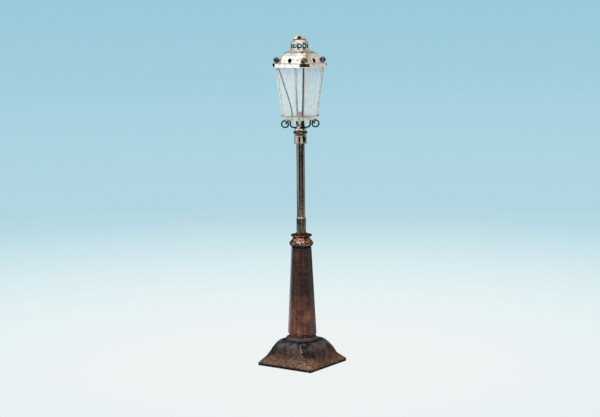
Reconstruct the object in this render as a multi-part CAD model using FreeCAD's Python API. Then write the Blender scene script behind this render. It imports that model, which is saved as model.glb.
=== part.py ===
"""Table-top street lamp: a glazed candle lantern on a slim post and an octagonal pedestal.

All sizes are in millimetres. +Z is up, the origin is the centre of the underside, and -Y is the
front. The lantern, the shaft and the foot stand square to X and Y, so their corners lie on the
diagonals. Each function makes one piece or one family of equal pieces, and build() writes each
piece to parts/NAME.step.
"""

import FreeCAD
import Part

import math
import os

V = FreeCAD.Vector
UP = V(0, 0, 1)
AXIS = V(0, 0, 0)
ROOT2 = math.sqrt(2)
CLEAR = 0.1  # gap between pieces that slip together

# ---- driving dimensions ------------------------------------------------------------------
HEIGHT = 300.0  # whole lamp
FOOT_HALF = 29.25  # half the side of the square foot
FOOT_LIP = 3.2  # upright edge of the foot
FOOT_TOP = 22.6
FOOT_WALL = 1.2
PLINTH_R = 15.4  # octagons are given by the radius of their corners
PLINTH_TOP = 25.6
SHAFT_BOTTOM_R = 13.55
SHAFT_TOP_R = 9.4
SHAFT_TOP = 107.8
SHAFT_WALL = 0.9
CAPITAL_TOP = 121.0
POST_R = 3.9
POST_WALL = 0.55
FERRULE_TOP = 134.2
SOCKET_BOTTOM = 202.3
SOCKET_TOP = 210.2
SOCKET_R = 5.9
STEM_TOP = 224.0  # the lantern's floor rests here
TRAY_TOP = 228.8
TRAY_HALF_BOTTOM = 10.3
TRAY_HALF_TOP = 12.5
SHEET = 0.5  # sheet metal of the lantern
GLASS = 1.0
GLASS_BOTTOM = 226.4
GLASS_TOP = 271.9
GLASS_HALF_BOTTOM = 10.95
GLASS_HALF_TOP = 15.65
FRAME_BOTTOM = 271.0
FRAME_TOP = 274.2  # the roof rests here
FRAME_HALF = 19.8
FRAME_LEG = 6.4  # leg of the cut corners
ROOF_TOP = 285.6
HINGE_R = 1.15
HINGE_PIN_R = 0.45
DRUM_R = 7.8
DRUM_BOTTOM = 287.0
DRUM_TOP = 292.6
DRUM_HOLES = 10
DRUM_HOLE_R = 1.9
CAP_BOTTOM = 295.8
TIE_R = 1.5
TIE_BOTTOM = 0.5
TIE_LENGTH = 109.5
CORNERS = {"front_left": 225, "front_right": 315, "back_right": 45, "back_left": 135}
SIDES = {"front": 0, "right": 90, "back": 180, "left": 270}


# ---- helpers -----------------------------------------------------------------------------
def turned(points, smooth=()):
    """A solid of revolution about Z from an outline of (radius, height) points.

    smooth lists (first, last) index pairs whose points are joined by one spline."""
    spans = dict(smooth)
    edges = []
    i = 0
    count = len(points)
    flat = [V(r, 0, z) for r, z in points]
    while i < count:
        if i in spans:
            last = spans[i]
            curve = Part.BSplineCurve()
            curve.interpolate(flat[i : last + 1])
            edges.append(curve.toShape())
            i = last
        else:
            edges.append(Part.makeLine(flat[i], flat[(i + 1) % count]))
            i += 1
    face = Part.Face(Part.Wire(edges))
    return face.revolve(AXIS, UP, 360)


def tube(outer, inner, bottom, top):
    """A plain round tube or ring."""
    body = Part.makeCylinder(outer, top - bottom, V(0, 0, bottom))
    return body.cut(Part.makeCylinder(inner, top - bottom, V(0, 0, bottom)))


def polygon(points, height):
    """A closed wire of (x, y) points at one height."""
    ring = [V(x, y, height) for x, y in points]
    return Part.makePolygon(ring + ring[:1])


def octagon(radius, height):
    """A regular octagon, flats square to X and Y, with its corners at radius."""
    turns = [math.radians(22.5 + 45 * k) for k in range(8)]
    return polygon([(radius * math.cos(t), radius * math.sin(t)) for t in turns], height)


def cut_square(half, leg, height):
    """A square of the given half side whose corners are cut off, leaving legs of that length."""
    short = half - leg
    points = []
    for sx, sy in ((1, 1), (-1, 1), (-1, -1), (1, -1)):
        first, second = (half * sx, short * sy), (short * sx, half * sy)
        points += [first, second] if sx * sy > 0 else [second, first]
    return polygon(points, height)


def loft(wires, ruled=True):
    """A solid through a stack of wires."""
    return Part.makeLoft(wires, True, ruled)


def sections(rows, inset=0.0, shift=0.0):
    """Cut-square wires from (height, half side, leg) rows, drawn in by inset and moved by shift."""
    narrower = inset * (2 - ROOT2)
    return [cut_square(a - inset, max(leg - narrower, 0.3), z + shift) for z, a, leg in rows]


def around(shape, angle):
    """A copy turned about Z."""
    turned_copy = shape.copy()
    turned_copy.rotate(AXIS, UP, angle)
    return turned_copy


def hexagon_prism(across_flats, bottom, top):
    """A hexagonal nut blank."""
    radius = across_flats / math.sqrt(3)
    turns = [math.radians(60 * k) for k in range(6)]
    outline = polygon([(radius * math.cos(t), radius * math.sin(t)) for t in turns], bottom)
    return Part.Face(outline).extrude(V(0, 0, top - bottom))


# ---- pedestal ----------------------------------------------------------------------------
# (height, half side, leg of the cut corner): the corners run out to points at the lip
FOOT_ROWS = [
    (FOOT_LIP, FOOT_HALF, 0.5),
    (5.1, 27.8, 2.4),
    (7.4, 26.6, 5.4),
    (10.3, 25.8, 7.6),
    (13.1, 24.9, 8.3),
    (16.3, 23.4, 8.5),
    (19.3, 21.2, 8.4),
    (21.6, 18.9, 8.2),
    (FOOT_TOP, 16.6, 7.9),
]
WEIGHT_GAP = 0.3
WEIGHT_BOTTOM = 3.6
COVER_THICK = 0.8
COVER_HOLE_R = 4.2
WASHER_R = 3.9
WASHER_THICK = 0.3
NUT_FLATS = 5.5
NUT_THICK = 2.1


def foot_shell():
    """Pressed foot: an upright lip, a flare and a rounded shoulder, open underneath."""
    lip = loft([cut_square(FOOT_HALF, 0.5, 0), cut_square(FOOT_HALF, 0.5, FOOT_LIP)])
    body = lip.fuse(loft(sections(FOOT_ROWS), ruled=False)).removeSplitter()
    hollow_lip = loft([cut_square(FOOT_HALF - FOOT_WALL, 0.3, z) for z in (-1, FOOT_LIP - 0.9)])
    hollow = loft(sections(FOOT_ROWS, FOOT_WALL, -0.9), ruled=False)
    body = body.cut(hollow_lip).cut(hollow)
    return body.cut(Part.makeCylinder(TIE_R + 0.3, FOOT_TOP + 1, V(0, 0, 0)))


def base_weight():
    """Cast block that fills the foot and keeps the lamp upright."""
    rows = [row for row in FOOT_ROWS if row[0] > WEIGHT_BOTTOM]
    rows[0] = (WEIGHT_BOTTOM + 0.9, rows[0][1], rows[0][2])
    block = loft(sections(rows, FOOT_WALL + WEIGHT_GAP, -1.2), ruled=False)
    return block.cut(Part.makeCylinder(TIE_R + 0.2, FOOT_TOP, V(0, 0, 0)))


def base_cover():
    """Sheet that closes the underside, with a hole for the nut."""
    half = FOOT_HALF - FOOT_WALL - CLEAR
    sheet = loft([cut_square(half, 0.5, 0), cut_square(half, 0.5, COVER_THICK)])
    return sheet.cut(Part.makeCylinder(COVER_HOLE_R, 2, V(0, 0, -0.5)))


def tie_rod():
    """Rod that clamps foot, shaft, capital and post together."""
    return Part.makeCylinder(TIE_R, TIE_LENGTH, V(0, 0, TIE_BOTTOM))


def tie_washer():
    """Washer under the weight."""
    top = WEIGHT_BOTTOM - WEIGHT_GAP
    return tube(WASHER_R, TIE_R + 0.05, top - WASHER_THICK, top)


def tie_nut():
    """Nut on the lower end of the rod."""
    top = WEIGHT_BOTTOM - WEIGHT_GAP - WASHER_THICK
    nut = hexagon_prism(NUT_FLATS, top - NUT_THICK, top)
    return nut.cut(Part.makeCylinder(TIE_R, 5, V(0, 0, 0)))


def plinth_ring():
    """Octagonal moulding between foot and shaft."""
    bore = 11.0
    rows = [(FOOT_TOP, PLINTH_R), (FOOT_TOP + 0.9, PLINTH_R), (FOOT_TOP + 2, 14.6), (PLINTH_TOP, 13.6)]
    body = loft([octagon(r, z) for z, r in rows])
    return body.cut(loft([octagon(bore, FOOT_TOP - 1), octagon(bore, PLINTH_TOP + 1)]))


BUSH_LENGTH = 4


def shaft_radius(height):
    """Corner radius of the tapering shaft at a height."""
    along = (height - PLINTH_TOP) / (SHAFT_TOP - PLINTH_TOP)
    return SHAFT_BOTTOM_R + (SHAFT_TOP_R - SHAFT_BOTTOM_R) * along


def column_shaft():
    """Tapering octagonal tube with a small undercut at its foot."""
    neck, edge = PLINTH_TOP + 1.4, PLINTH_TOP + 2.7
    rows = [(PLINTH_TOP, 12.0), (neck, 12.2), (edge, shaft_radius(edge)), (SHAFT_TOP, SHAFT_TOP_R)]
    body = loft([octagon(r, z) for z, r in rows])
    inner = [octagon(r - SHAFT_WALL, z) for z, r in rows]
    return body.cut(loft(inner))


def shaft_bush():
    """Plug that centres the post in the top of the shaft."""
    bottom = SHAFT_TOP - BUSH_LENGTH
    fit = SHAFT_WALL + 0.05
    rows = [octagon(shaft_radius(z) - fit, z) for z in (bottom, SHAFT_TOP)]
    return loft(rows).cut(Part.makeCylinder(POST_R, 6, V(0, 0, bottom - 1)))


def capital_lower():
    """Turned ring and cove on top of the shaft."""
    outline = [
        (POST_R, SHAFT_TOP), (8.7, SHAFT_TOP), (8.8, 108.9), (9.7, 109.5),
        (10.5, 110.5), (10.85, 111.8), (10.4, 113.2), (9.2, 114.6),
        (8.1, 115.9), (7.7, 117.0), (POST_R, 117.0),
    ]
    return turned(outline, smooth=((3, 9),))


def capital_upper():
    """Turned dish under the post."""
    outline = [
        (POST_R, 117.0), (7.7, 117.0), (8.5, 117.7), (9.5, 118.3), (9.75, 119.0),
        (9.4, 119.6), (8.2, 120.0), (6.4, 120.4), (5.0, CAPITAL_TOP), (POST_R, CAPITAL_TOP),
    ]
    return turned(outline, smooth=((1, 8),))


# ---- post --------------------------------------------------------------------------------
POST_BOTTOM = 103.0
POST_TOP = 206.4
PLUG_LENGTH = 8
FERRULE_R = 4.25


def post_tube():
    """Plated tube."""
    return tube(POST_R, POST_R - POST_WALL, POST_BOTTOM, POST_TOP)


def post_plug():
    """Threaded plug soldered in the lower end of the tube."""
    return tube(POST_R - POST_WALL, TIE_R, POST_BOTTOM, POST_BOTTOM + PLUG_LENGTH)


def post_ferrule():
    """Sleeve on the post that bears on the capital."""
    outline = [
        (POST_R, CAPITAL_TOP), (FERRULE_R, CAPITAL_TOP), (FERRULE_R, FERRULE_TOP - 0.7),
        (FERRULE_R - 0.2, FERRULE_TOP), (POST_R, FERRULE_TOP),
    ]
    return turned(outline)


def post_socket():
    """Turned socket on the top of the post, with a lip at its lower edge."""
    outline = [
        (POST_R, SOCKET_BOTTOM), (5.5, SOCKET_BOTTOM), (SOCKET_R, SOCKET_BOTTOM + 0.3),
        (SOCKET_R, SOCKET_BOTTOM + 0.8), (5.65, SOCKET_BOTTOM + 1.1), (5.65, SOCKET_TOP - 1.2),
        (5.4, SOCKET_TOP - 0.4), (4.9, SOCKET_TOP), (POST_R - POST_WALL, SOCKET_TOP),
        (POST_R - POST_WALL, POST_TOP), (POST_R, POST_TOP),
    ]
    return turned(outline, smooth=((5, 7),))


# ---- lantern base ------------------------------------------------------------------------
SPIGOT_R = POST_R - POST_WALL
NECK_R = 4.3
COLLAR_BORE = 4.7
STUD_R = 1.2
SPIGOT_BOTTOM = 196.0
STUD_TOP = 226.8


def lantern_stem():
    """Turned stem: a spigot in the post, a band, a waist, a shallow cone and a stud."""
    outline = [
        (0, SPIGOT_BOTTOM), (SPIGOT_R, SPIGOT_BOTTOM), (SPIGOT_R, SOCKET_TOP),
        (COLLAR_BORE, SOCKET_TOP), (COLLAR_BORE, 214.0), (5.35, 214.3), (5.4, 215.5),
        (4.9, 216.1), (NECK_R, 216.15),
        (NECK_R, 217.2), (3.6, 218.4), (2.2, 219.7), (1.8, 220.8), (2.3, 221.8),
        (4.2, 222.9), (7.2, STEM_TOP), (STUD_R, STEM_TOP), (STUD_R, STUD_TOP), (0, STUD_TOP),
    ]
    return turned(outline, smooth=((4, 7), (9, 15)))


def collar_ring():
    """Round ring above the socket."""
    middle, half = 212.3, 1.5
    outline = [
        (COLLAR_BORE, middle - half), (5.5, middle - half), (6.15, middle - 0.8), (6.35, middle),
        (6.15, middle + 0.8), (5.5, middle + half), (COLLAR_BORE, middle + half),
    ]
    return turned(outline, smooth=((1, 5),))


# centre line of a scroll in its own upright plane, as (radius, height)
SCROLL_LINE = [
    (4.2, 216.85), (6.4, 216.65), (8.1, 217.45), (9.0, 219.4), (9.1, 221.6), (9.5, 223.1),
    (10.5, 223.55), (11.3, 222.7), (11.2, 221.0), (10.9, 219.2), (11.6, 217.5), (13.4, 216.6),
    (15.4, 216.9), (16.8, 218.4), (17.1, 220.4), (16.1, 222.3), (14.4, 223.0), (12.9, 222.1),
    (12.6, 220.6), (13.4, 219.6),
]
SCROLL_THICK = 1.0
SCROLL_WIDE = 1.7


def scroll():
    """One scroll of flat strip, standing in the XZ plane."""
    middle = Part.BSplineCurve()
    middle.interpolate([V(r, 0, z) for r, z in SCROLL_LINE])
    first, last = middle.FirstParameter, middle.LastParameter
    steps = 4 * len(SCROLL_LINE)
    sides = {1: [], -1: []}
    for i in range(steps + 1):
        at = first + (last - first) * i / steps
        point = middle.value(at)
        along = middle.tangent(at)[0]
        across = V(-along.z, 0, along.x)
        half = SCROLL_THICK / 2 * (1 - 0.35 * i / steps)
        for side in sides:
            sides[side].append(point + across * half * side)
    edges = []
    for points in (sides[1], sides[-1]):
        curve = Part.BSplineCurve()
        curve.interpolate(points)
        edges.append(curve.toShape())
    edges.append(Part.makeLine(sides[1][0], sides[-1][0]))
    edges.append(Part.makeLine(sides[1][-1], sides[-1][-1]))
    face = Part.Face(Part.Wire(Part.__sortEdges__(edges)))
    strip = face.extrude(V(0, SCROLL_WIDE, 0))
    strip.translate(V(0, -SCROLL_WIDE / 2, 0))
    return strip.cut(Part.makeCylinder(NECK_R, 4, V(0, 0, 215))).cut(rivet_hole())


RIVET_AT = 10.4
RIVET_R = 0.45


def rivet_hole():
    """Hole for one rivet through a scroll and the floor."""
    return Part.makeCylinder(RIVET_R, 3, V(RIVET_AT, 0, STEM_TOP - 1.5))


def scroll_rivets():
    """Rivets through the floor into the top of each scroll, as one group."""
    tail = 0.85
    shank = Part.makeCylinder(RIVET_R, tail + SHEET, V(RIVET_AT, 0, STEM_TOP - tail))
    head = Part.makeSphere(2 * RIVET_R, V(RIVET_AT, 0, STEM_TOP + SHEET), UP, 0, 90)
    one = shank.fuse(head)
    return Part.makeCompound([around(one, angle) for angle in CORNERS.values()])


TRAY_WALL = 0.4
SCOOP_LOW = 226.9  # upper edge of the tray between its corners


def tray_half(height):
    """Half side of the tray's outside at a height."""
    along = (height - STEM_TOP) / (TRAY_TOP - STEM_TOP)
    return TRAY_HALF_BOTTOM + (TRAY_HALF_TOP - TRAY_HALF_BOTTOM) * along


def lantern_tray():
    """Pressed floor with flared walls, scooped between the corners so that the corners stand up."""
    floor = STEM_TOP + SHEET
    body = loft([cut_square(tray_half(z), 0.4, z) for z in (STEM_TOP, TRAY_TOP)])
    inner = loft([cut_square(tray_half(z) - TRAY_WALL, 0.2, z) for z in (floor, TRAY_TOP + 0.5)])
    body = body.cut(inner)
    low, reach, rise = SCOOP_LOW, 8.8, TRAY_TOP + 1 - SCOOP_LOW
    corners = []
    for side in (1, -1):
        start = V(side * reach, 0, low)
        bend = V(side * (reach + 1.9), 0, low + 0.6)
        tip = V(side * (reach + 3.4), 0, low + rise)
        corners.append((start, Part.Arc(start, bend, tip).toShape(), tip))
    edges = [
        Part.makeLine(corners[1][0], corners[0][0]), corners[0][1],
        Part.makeLine(corners[0][2], corners[1][2]), corners[1][1],
    ]
    scoop = Part.Face(Part.Wire(Part.__sortEdges__(edges))).extrude(V(0, 40, 0))
    scoop.translate(V(0, -20, 0))
    body = body.cut(scoop).cut(around(scoop, 90))
    for angle in CORNERS.values():
        body = body.cut(around(rivet_hole(), angle))
    return body.cut(Part.makeCylinder(STUD_R, 4, V(0, 0, STEM_TOP - 1)))


CUP_R = 2.55
CUP_BORE = 2.0
CUP_FLOOR = STUD_TOP
CUP_TOP = 231.0


def candle_cup():
    """Turned candle socket on the floor of the lantern."""
    floor = STEM_TOP + SHEET
    outline = [
        (STUD_R, floor), (4.4, floor), (4.4, floor + 0.5), (3.2, floor + 0.9), (CUP_R, 226.0),
        (CUP_R, CUP_TOP - 0.9), (2.9, CUP_TOP - 0.3), (2.85, CUP_TOP), (CUP_BORE, CUP_TOP),
        (CUP_BORE, CUP_FLOOR), (STUD_R, CUP_FLOOR),
    ]
    return turned(outline)


# ---- lantern glazing ---------------------------------------------------------------------
BAR_LEG = 1.25
BAR_THICK = 0.35
BAR_GAP = 0.05
BAR_BOTTOM = 227.5


def glass_half(height):
    """Distance from the axis to the outer face of a pane."""
    along = (height - GLASS_BOTTOM) / (GLASS_TOP - GLASS_BOTTOM)
    return GLASS_HALF_BOTTOM + (GLASS_HALF_TOP - GLASS_HALF_BOTTOM) * along


def glass_pane():
    """The front pane: a plate that widens upwards and leans out."""
    wires = []
    for z in (GLASS_BOTTOM, GLASS_TOP):
        front = -glass_half(z)
        side = -front - GLASS - 0.15
        points = [(-side, front), (side, front), (side, front + GLASS), (-side, front + GLASS)]
        wires.append(polygon(points, z))
    return loft(wires)


def corner_bar():
    """Angle strip over the edges of two panes, at the front left corner."""
    wires = []
    for z in (BAR_BOTTOM, FRAME_BOTTOM):
        inside = -(glass_half(z) + BAR_GAP)
        outside = inside - BAR_THICK
        end = outside + BAR_LEG
        points = [
            (outside, outside), (end, outside), (end, inside),
            (inside, inside), (inside, end), (outside, end),
        ]
        wires.append(polygon(points, z))
    return loft(wires)


def top_frame():
    """Band under the roof: an upright wall with cut corners and a flange round the glass."""
    outer = loft([cut_square(FRAME_HALF, FRAME_LEG, z) for z in (FRAME_BOTTOM, FRAME_TOP)])
    wall = sections([(z, FRAME_HALF, FRAME_LEG) for z in (FRAME_BOTTOM + SHEET, FRAME_TOP + 1)], SHEET)
    gap = glass_half(FRAME_BOTTOM + SHEET) + 0.08
    opening = Part.makeBox(2 * gap, 2 * gap, 4, V(-gap, -gap, FRAME_BOTTOM - 1))
    return outer.cut(loft(wall)).cut(opening)


def glass_retainer():
    """Square ring of strip that keeps the panes out against the bars."""
    strip = 0.8
    bottom = GLASS_TOP - strip
    outer = glass_half(bottom) - GLASS
    inner = outer - strip
    ring = Part.makeBox(2 * outer, 2 * outer, strip, V(-outer, -outer, bottom))
    return ring.cut(Part.makeBox(2 * inner, 2 * inner, 2, V(-inner, -inner, bottom - 0.5)))


def corner_plate():
    """Small plate on a cut corner of the band, facing along X; it hides the seam under the brim."""
    wide, high, thick = 8.6, 2.7, 0.5
    face = (2 * FRAME_HALF - FRAME_LEG) / ROOT2
    middle = (FRAME_BOTTOM + FRAME_TOP) / 2 + 0.5
    plate = Part.makeBox(thick, wide, high, V(face, -wide / 2, middle - high / 2))
    across = [edge for edge in plate.Edges if edge.BoundBox.XLength > thick / 2]
    return plate.makeFillet(0.3, across)


# ---- roof --------------------------------------------------------------------------------
# (height, half side, leg of the cut corner)
DOME_ROWS = [
    (FRAME_TOP + SHEET, 16.1, 5.6),
    (277.2, 15.5, 5.4),
    (280.0, 14.7, 5.1),
    (281.8, 13.7, 4.9),
    (283.6, 12.4, 4.6),
    (284.8, 10.8, 4.3),
    (ROOF_TOP, 9.0, 3.8),
]
DRUM_PHASE = 33.8  # the round chimney is set a little off the lantern's axes
VENT_R = 2.1  # one low on each face
VENT_Z = 277.1
HIGH_VENT_R = 1.25  # one high on each corner
HIGH_VENT_AT = 13.0


def roof_shell():
    """Pressed roof: a flat brim that rests on the band, and a cushion-shaped dome with vents."""
    heights = (FRAME_TOP, FRAME_TOP + SHEET)
    brim = loft([cut_square(FRAME_HALF - 0.25, FRAME_LEG - 0.1, z) for z in heights])
    dome = loft(sections(DOME_ROWS), ruled=False)
    hollow = loft(sections(DOME_ROWS, SHEET, -SHEET), ruled=False)
    body = brim.fuse(dome).cut(hollow)
    for direction in (V(1, 0, 0), V(0, 1, 0)):
        body = body.cut(Part.makeCylinder(VENT_R, 60, V(0, 0, VENT_Z) - direction * 30, direction))
    for angle in CORNERS.values():
        high_vent = Part.makeCylinder(HIGH_VENT_R, 6, V(HIGH_VENT_AT, 0, ROOF_TOP - 4.6))
        shank_hole = Part.makeCylinder(SHANK_R, 12, V(ROSETTE_BACK - 5, 0, ROSETTE_Z), V(1, 0, 0))
        body = body.cut(around(high_vent, angle)).cut(around(shank_hole, angle))
    return body.cut(Part.makeCylinder(DRUM_R - SHEET, 6, V(0, 0, ROOF_TOP - 3)))


ROSETTE_R = 2.7
ROSETTE_Z = 277.45
ROSETTE_BACK = 18.45  # just outside the dome's corner
SHANK_R = 0.7
SHANK_LENGTH = 2.5
ROSETTE_NUT_R = 1.1
PETALS = 8
NOTCH_R = 0.5  # between two petals


def rosette():
    """Round flower knob on the dome's corner, facing outwards, with a shank."""
    outline = [
        (0, 0), (1.3, 0), (1.2, 0.3), (1.5, 0.6), (2.3, 1.2), (ROSETTE_R, 2.3),
        (2.6, 3.4), (2.0, 4.3), (1.35, 4.5), (1.25, 4.9), (0.8, 5.3), (0, 5.4),
    ]
    knob = turned(outline, smooth=((2, 7), (8, 11)))
    for k in range(PETALS):
        notch = Part.makeCylinder(NOTCH_R, 6, V(ROSETTE_R + 0.15, 0, 0.8))
        knob = knob.cut(around(notch, 360 * (k + 0.5) / PETALS))
    knob = knob.fuse(Part.makeCylinder(SHANK_R, SHANK_LENGTH, V(0, 0, -SHANK_LENGTH)))
    knob.rotate(AXIS, V(0, 1, 0), 90)
    knob.translate(V(ROSETTE_BACK, 0, ROSETTE_Z))
    return knob


def rosette_nuts():
    """Round nuts on the shanks inside the dome, as one group."""
    end = V(ROSETTE_BACK - SHANK_LENGTH, 0, ROSETTE_Z)
    nut = Part.makeCylinder(ROSETTE_NUT_R, 0.8, end, V(1, 0, 0))
    nut = nut.cut(Part.makeCylinder(SHANK_R, 3, end - V(1, 0, 0), V(1, 0, 0)))
    return Part.makeCompound([around(nut, angle) for angle in CORNERS.values()])


def chimney_flange():
    """Turned ring that seats the drum on the roof."""
    bore = DRUM_R - SHEET
    outline = [
        (bore, ROOF_TOP), (9.0, ROOF_TOP), (9.1, ROOF_TOP + 0.3), (8.9, ROOF_TOP + 0.6),
        (8.5, ROOF_TOP + 0.85), (8.25, ROOF_TOP + 1.1), (8.2, DRUM_BOTTOM), (bore, DRUM_BOTTOM),
    ]
    return turned(outline, smooth=((1, 6),))


def vent_drum():
    """Short tube with a row of round holes."""
    body = tube(DRUM_R, DRUM_R - SHEET, DRUM_BOTTOM, DRUM_TOP)
    middle = (DRUM_BOTTOM + DRUM_TOP) / 2
    hole = Part.makeCylinder(DRUM_HOLE_R, 12, V(0, 0, middle), V(0, -1, 0))
    for k in range(DRUM_HOLES):
        body = body.cut(around(hole, DRUM_PHASE + k * 360 / DRUM_HOLES))
    return body


def drum_crown():
    """Bell-shaped cover on the drum."""
    outer = [(8.15, DRUM_TOP), (8.2, 293.0), (7.6, 293.6), (6.9, 294.3), (6.1, 295.1), (5.6, CAP_BOTTOM)]
    inner = [(r - SHEET, z - 0.35) for r, z in reversed(outer[2:])]
    outline = outer + inner + [(DRUM_R - SHEET, DRUM_TOP)]
    return turned(outline, smooth=((0, 5), (6, 9)))


def chimney_cap():
    """Small domed cap with a lip."""
    lip = 6.25
    outline = [
        (0, CAP_BOTTOM), (5.6, CAP_BOTTOM), (lip, CAP_BOTTOM + 0.35), (lip, CAP_BOTTOM + 0.85),
        (5.95, CAP_BOTTOM + 1.15), (5.75, 297.7), (4.9, 298.7), (3.6, 299.45), (1.9, 299.9),
        (0, HEIGHT),
    ]
    return turned(outline, smooth=((4, 9),))


# ---- hinge -------------------------------------------------------------------------------
# the roof turns up about a pin behind the band; the seam between them is level with the pin
HINGE_Y = FRAME_HALF + HINGE_R + 0.1
HINGE_Z = FRAME_TOP + 0.25
KNUCKLE = 3.0  # length of each of the three knuckles
KNUCKLE_GAP = 0.15
LEAF = 0.45
PLAY = 0.05  # between the pin and the knuckle that turns on it
LEAF_START = 17.2  # the upper leaf reaches in over the brim to here
PIN_HEAD_R = 0.8


def knuckle(start, bore):
    """One knuckle from x = start."""
    body = Part.makeCylinder(HINGE_R, KNUCKLE, V(start, HINGE_Y, HINGE_Z), V(1, 0, 0))
    return body.cut(Part.makeCylinder(bore, KNUCKLE, V(start, HINGE_Y, HINGE_Z), V(1, 0, 0)))


def hinge_leaf_lower():
    """Leaf on the back of the band with the two outer knuckles."""
    width = 3 * KNUCKLE + 2 * KNUCKLE_GAP
    bore = HINGE_PIN_R
    leaf = Part.makeBox(width, LEAF, 2.6, V(-width / 2, FRAME_HALF, FRAME_TOP - 3.0))
    for start in (-width / 2, width / 2 - KNUCKLE):
        web_top = HINGE_Z - bore - 0.1
        web = Part.makeBox(KNUCKLE, HINGE_R + 0.1, 1.4, V(start, FRAME_HALF, web_top - 1.4))
        leaf = leaf.fuse(web).fuse(knuckle(start, bore))
    room = Part.makeCylinder(bore, width + 2, V(-width / 2 - 1, HINGE_Y, HINGE_Z), V(1, 0, 0))
    swing = Part.makeCylinder(HINGE_R + 0.12, KNUCKLE + 2 * KNUCKLE_GAP, AXIS, V(1, 0, 0))
    swing.translate(V(-KNUCKLE / 2 - KNUCKLE_GAP, HINGE_Y, HINGE_Z))
    above = Part.makeBox(width + 2, 4, 4, V(-width / 2 - 1, FRAME_HALF - 3.9, FRAME_TOP - 0.02))
    return leaf.cut(room).cut(swing).cut(above)


def hinge_leaf_upper():
    """Leaf on the brim with the middle knuckle."""
    start = -KNUCKLE / 2
    bore = HINGE_PIN_R + PLAY
    top = FRAME_TOP + SHEET
    leaf = Part.makeBox(KNUCKLE, HINGE_Y - LEAF_START, LEAF, V(start, LEAF_START, top))
    body = leaf.fuse(knuckle(start, bore))
    return body.cut(Part.makeCylinder(bore, KNUCKLE, V(start, HINGE_Y, HINGE_Z), V(1, 0, 0)))


def hinge_pin():
    """Pin with two domed heads."""
    half = (3 * KNUCKLE + 2 * KNUCKLE_GAP) / 2
    pin = Part.makeCylinder(HINGE_PIN_R, 2 * half, V(-half, HINGE_Y, HINGE_Z), V(1, 0, 0))
    for side in (1, -1):
        head = Part.makeSphere(PIN_HEAD_R, AXIS, V(side, 0, 0), 0, 90)
        head.translate(V(side * half, HINGE_Y, HINGE_Z))
        pin = pin.fuse(head)
    return pin


# ---- assembly ----------------------------------------------------------------------------
def build():
    """Every piece by name."""
    pieces = {
        "foot_shell": foot_shell(),
        "base_weight": base_weight(),
        "base_cover": base_cover(),
        "tie_rod": tie_rod(),
        "tie_washer": tie_washer(),
        "tie_nut": tie_nut(),
        "plinth_ring": plinth_ring(),
        "column_shaft": column_shaft(),
        "shaft_bush": shaft_bush(),
        "capital_lower": capital_lower(),
        "capital_upper": capital_upper(),
        "post_tube": post_tube(),
        "post_plug": post_plug(),
        "post_ferrule": post_ferrule(),
        "post_socket": post_socket(),
        "lantern_stem": lantern_stem(),
        "collar_ring": collar_ring(),
        "scroll_rivets": scroll_rivets(),
        "lantern_tray": lantern_tray(),
        "candle_cup": candle_cup(),
        "top_frame": top_frame(),
        "glass_retainer": glass_retainer(),
        "roof_shell": roof_shell(),
        "rosette_nuts": rosette_nuts(),
        "hinge_leaf_lower": hinge_leaf_lower(),
        "hinge_leaf_upper": hinge_leaf_upper(),
        "hinge_pin": hinge_pin(),
        "chimney_flange": chimney_flange(),
        "vent_drum": vent_drum(),
        "drum_crown": drum_crown(),
        "chimney_cap": chimney_cap(),
    }
    one_scroll, one_rosette = scroll(), rosette()
    pane, bar, plate = glass_pane(), corner_bar(), corner_plate()
    for name, angle in CORNERS.items():
        pieces["scroll_" + name] = around(one_scroll, angle)
        pieces["rosette_" + name] = around(one_rosette, angle)
        pieces["corner_bar_" + name] = around(bar, angle - CORNERS["front_left"])
        pieces["corner_plate_" + name] = around(plate, angle)
    for name, angle in SIDES.items():
        pieces["glass_" + name] = around(pane, angle)
    return pieces


os.makedirs("parts", exist_ok=True)
for piece_name, piece in build().items():
    closed = piece.isValid() and all(s.isClosed() for s in piece.Shells)
    print(f"{piece_name}: {len(piece.Solids)} solid(s), {piece.Volume:.1f} mm3, valid {closed}")
    piece.exportStep(f"parts/{piece_name}.step")
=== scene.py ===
"""Looks of the table-top street lamp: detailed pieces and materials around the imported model.

Lengths are in millimetres until mesh_piece() turns them into metres. The lamp stands on its
square foot at the origin, +Z is up and -Y is the front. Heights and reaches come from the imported
nodes' boxes, and each outline below adds the curves and edges that its piece needs.
"""

import math

import bmesh
import bpy
import numpy as np
from mathutils import Matrix, Vector, noise


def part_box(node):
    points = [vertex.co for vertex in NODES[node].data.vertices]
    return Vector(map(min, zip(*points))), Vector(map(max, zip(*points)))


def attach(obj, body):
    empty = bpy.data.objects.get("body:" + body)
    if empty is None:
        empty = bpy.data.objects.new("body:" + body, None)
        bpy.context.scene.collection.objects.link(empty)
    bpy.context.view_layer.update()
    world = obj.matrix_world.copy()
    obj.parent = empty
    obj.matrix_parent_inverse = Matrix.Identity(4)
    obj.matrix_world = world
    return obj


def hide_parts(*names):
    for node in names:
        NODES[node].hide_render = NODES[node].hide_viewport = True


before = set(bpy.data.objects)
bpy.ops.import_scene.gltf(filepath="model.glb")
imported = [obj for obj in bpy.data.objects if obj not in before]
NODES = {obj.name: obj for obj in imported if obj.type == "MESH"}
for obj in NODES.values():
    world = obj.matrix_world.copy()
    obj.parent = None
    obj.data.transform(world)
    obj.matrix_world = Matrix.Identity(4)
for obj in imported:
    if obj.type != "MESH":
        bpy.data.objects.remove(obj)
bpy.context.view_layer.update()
MM = 0.001
CORNERS = {"front_left": 225, "front_right": 315, "back_right": 45, "back_left": 135}
SIDES = {"front": 0, "right": 90, "back": 180, "left": 270}
QUARTERS = ((1, 1), (-1, 1), (-1, -1), (1, -1))


def span(node):
    """(reach from the axis along +X, bottom, top) of a node, in millimetres."""
    low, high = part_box(node)
    return high.x / MM, low.z / MM, high.z / MM


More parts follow.
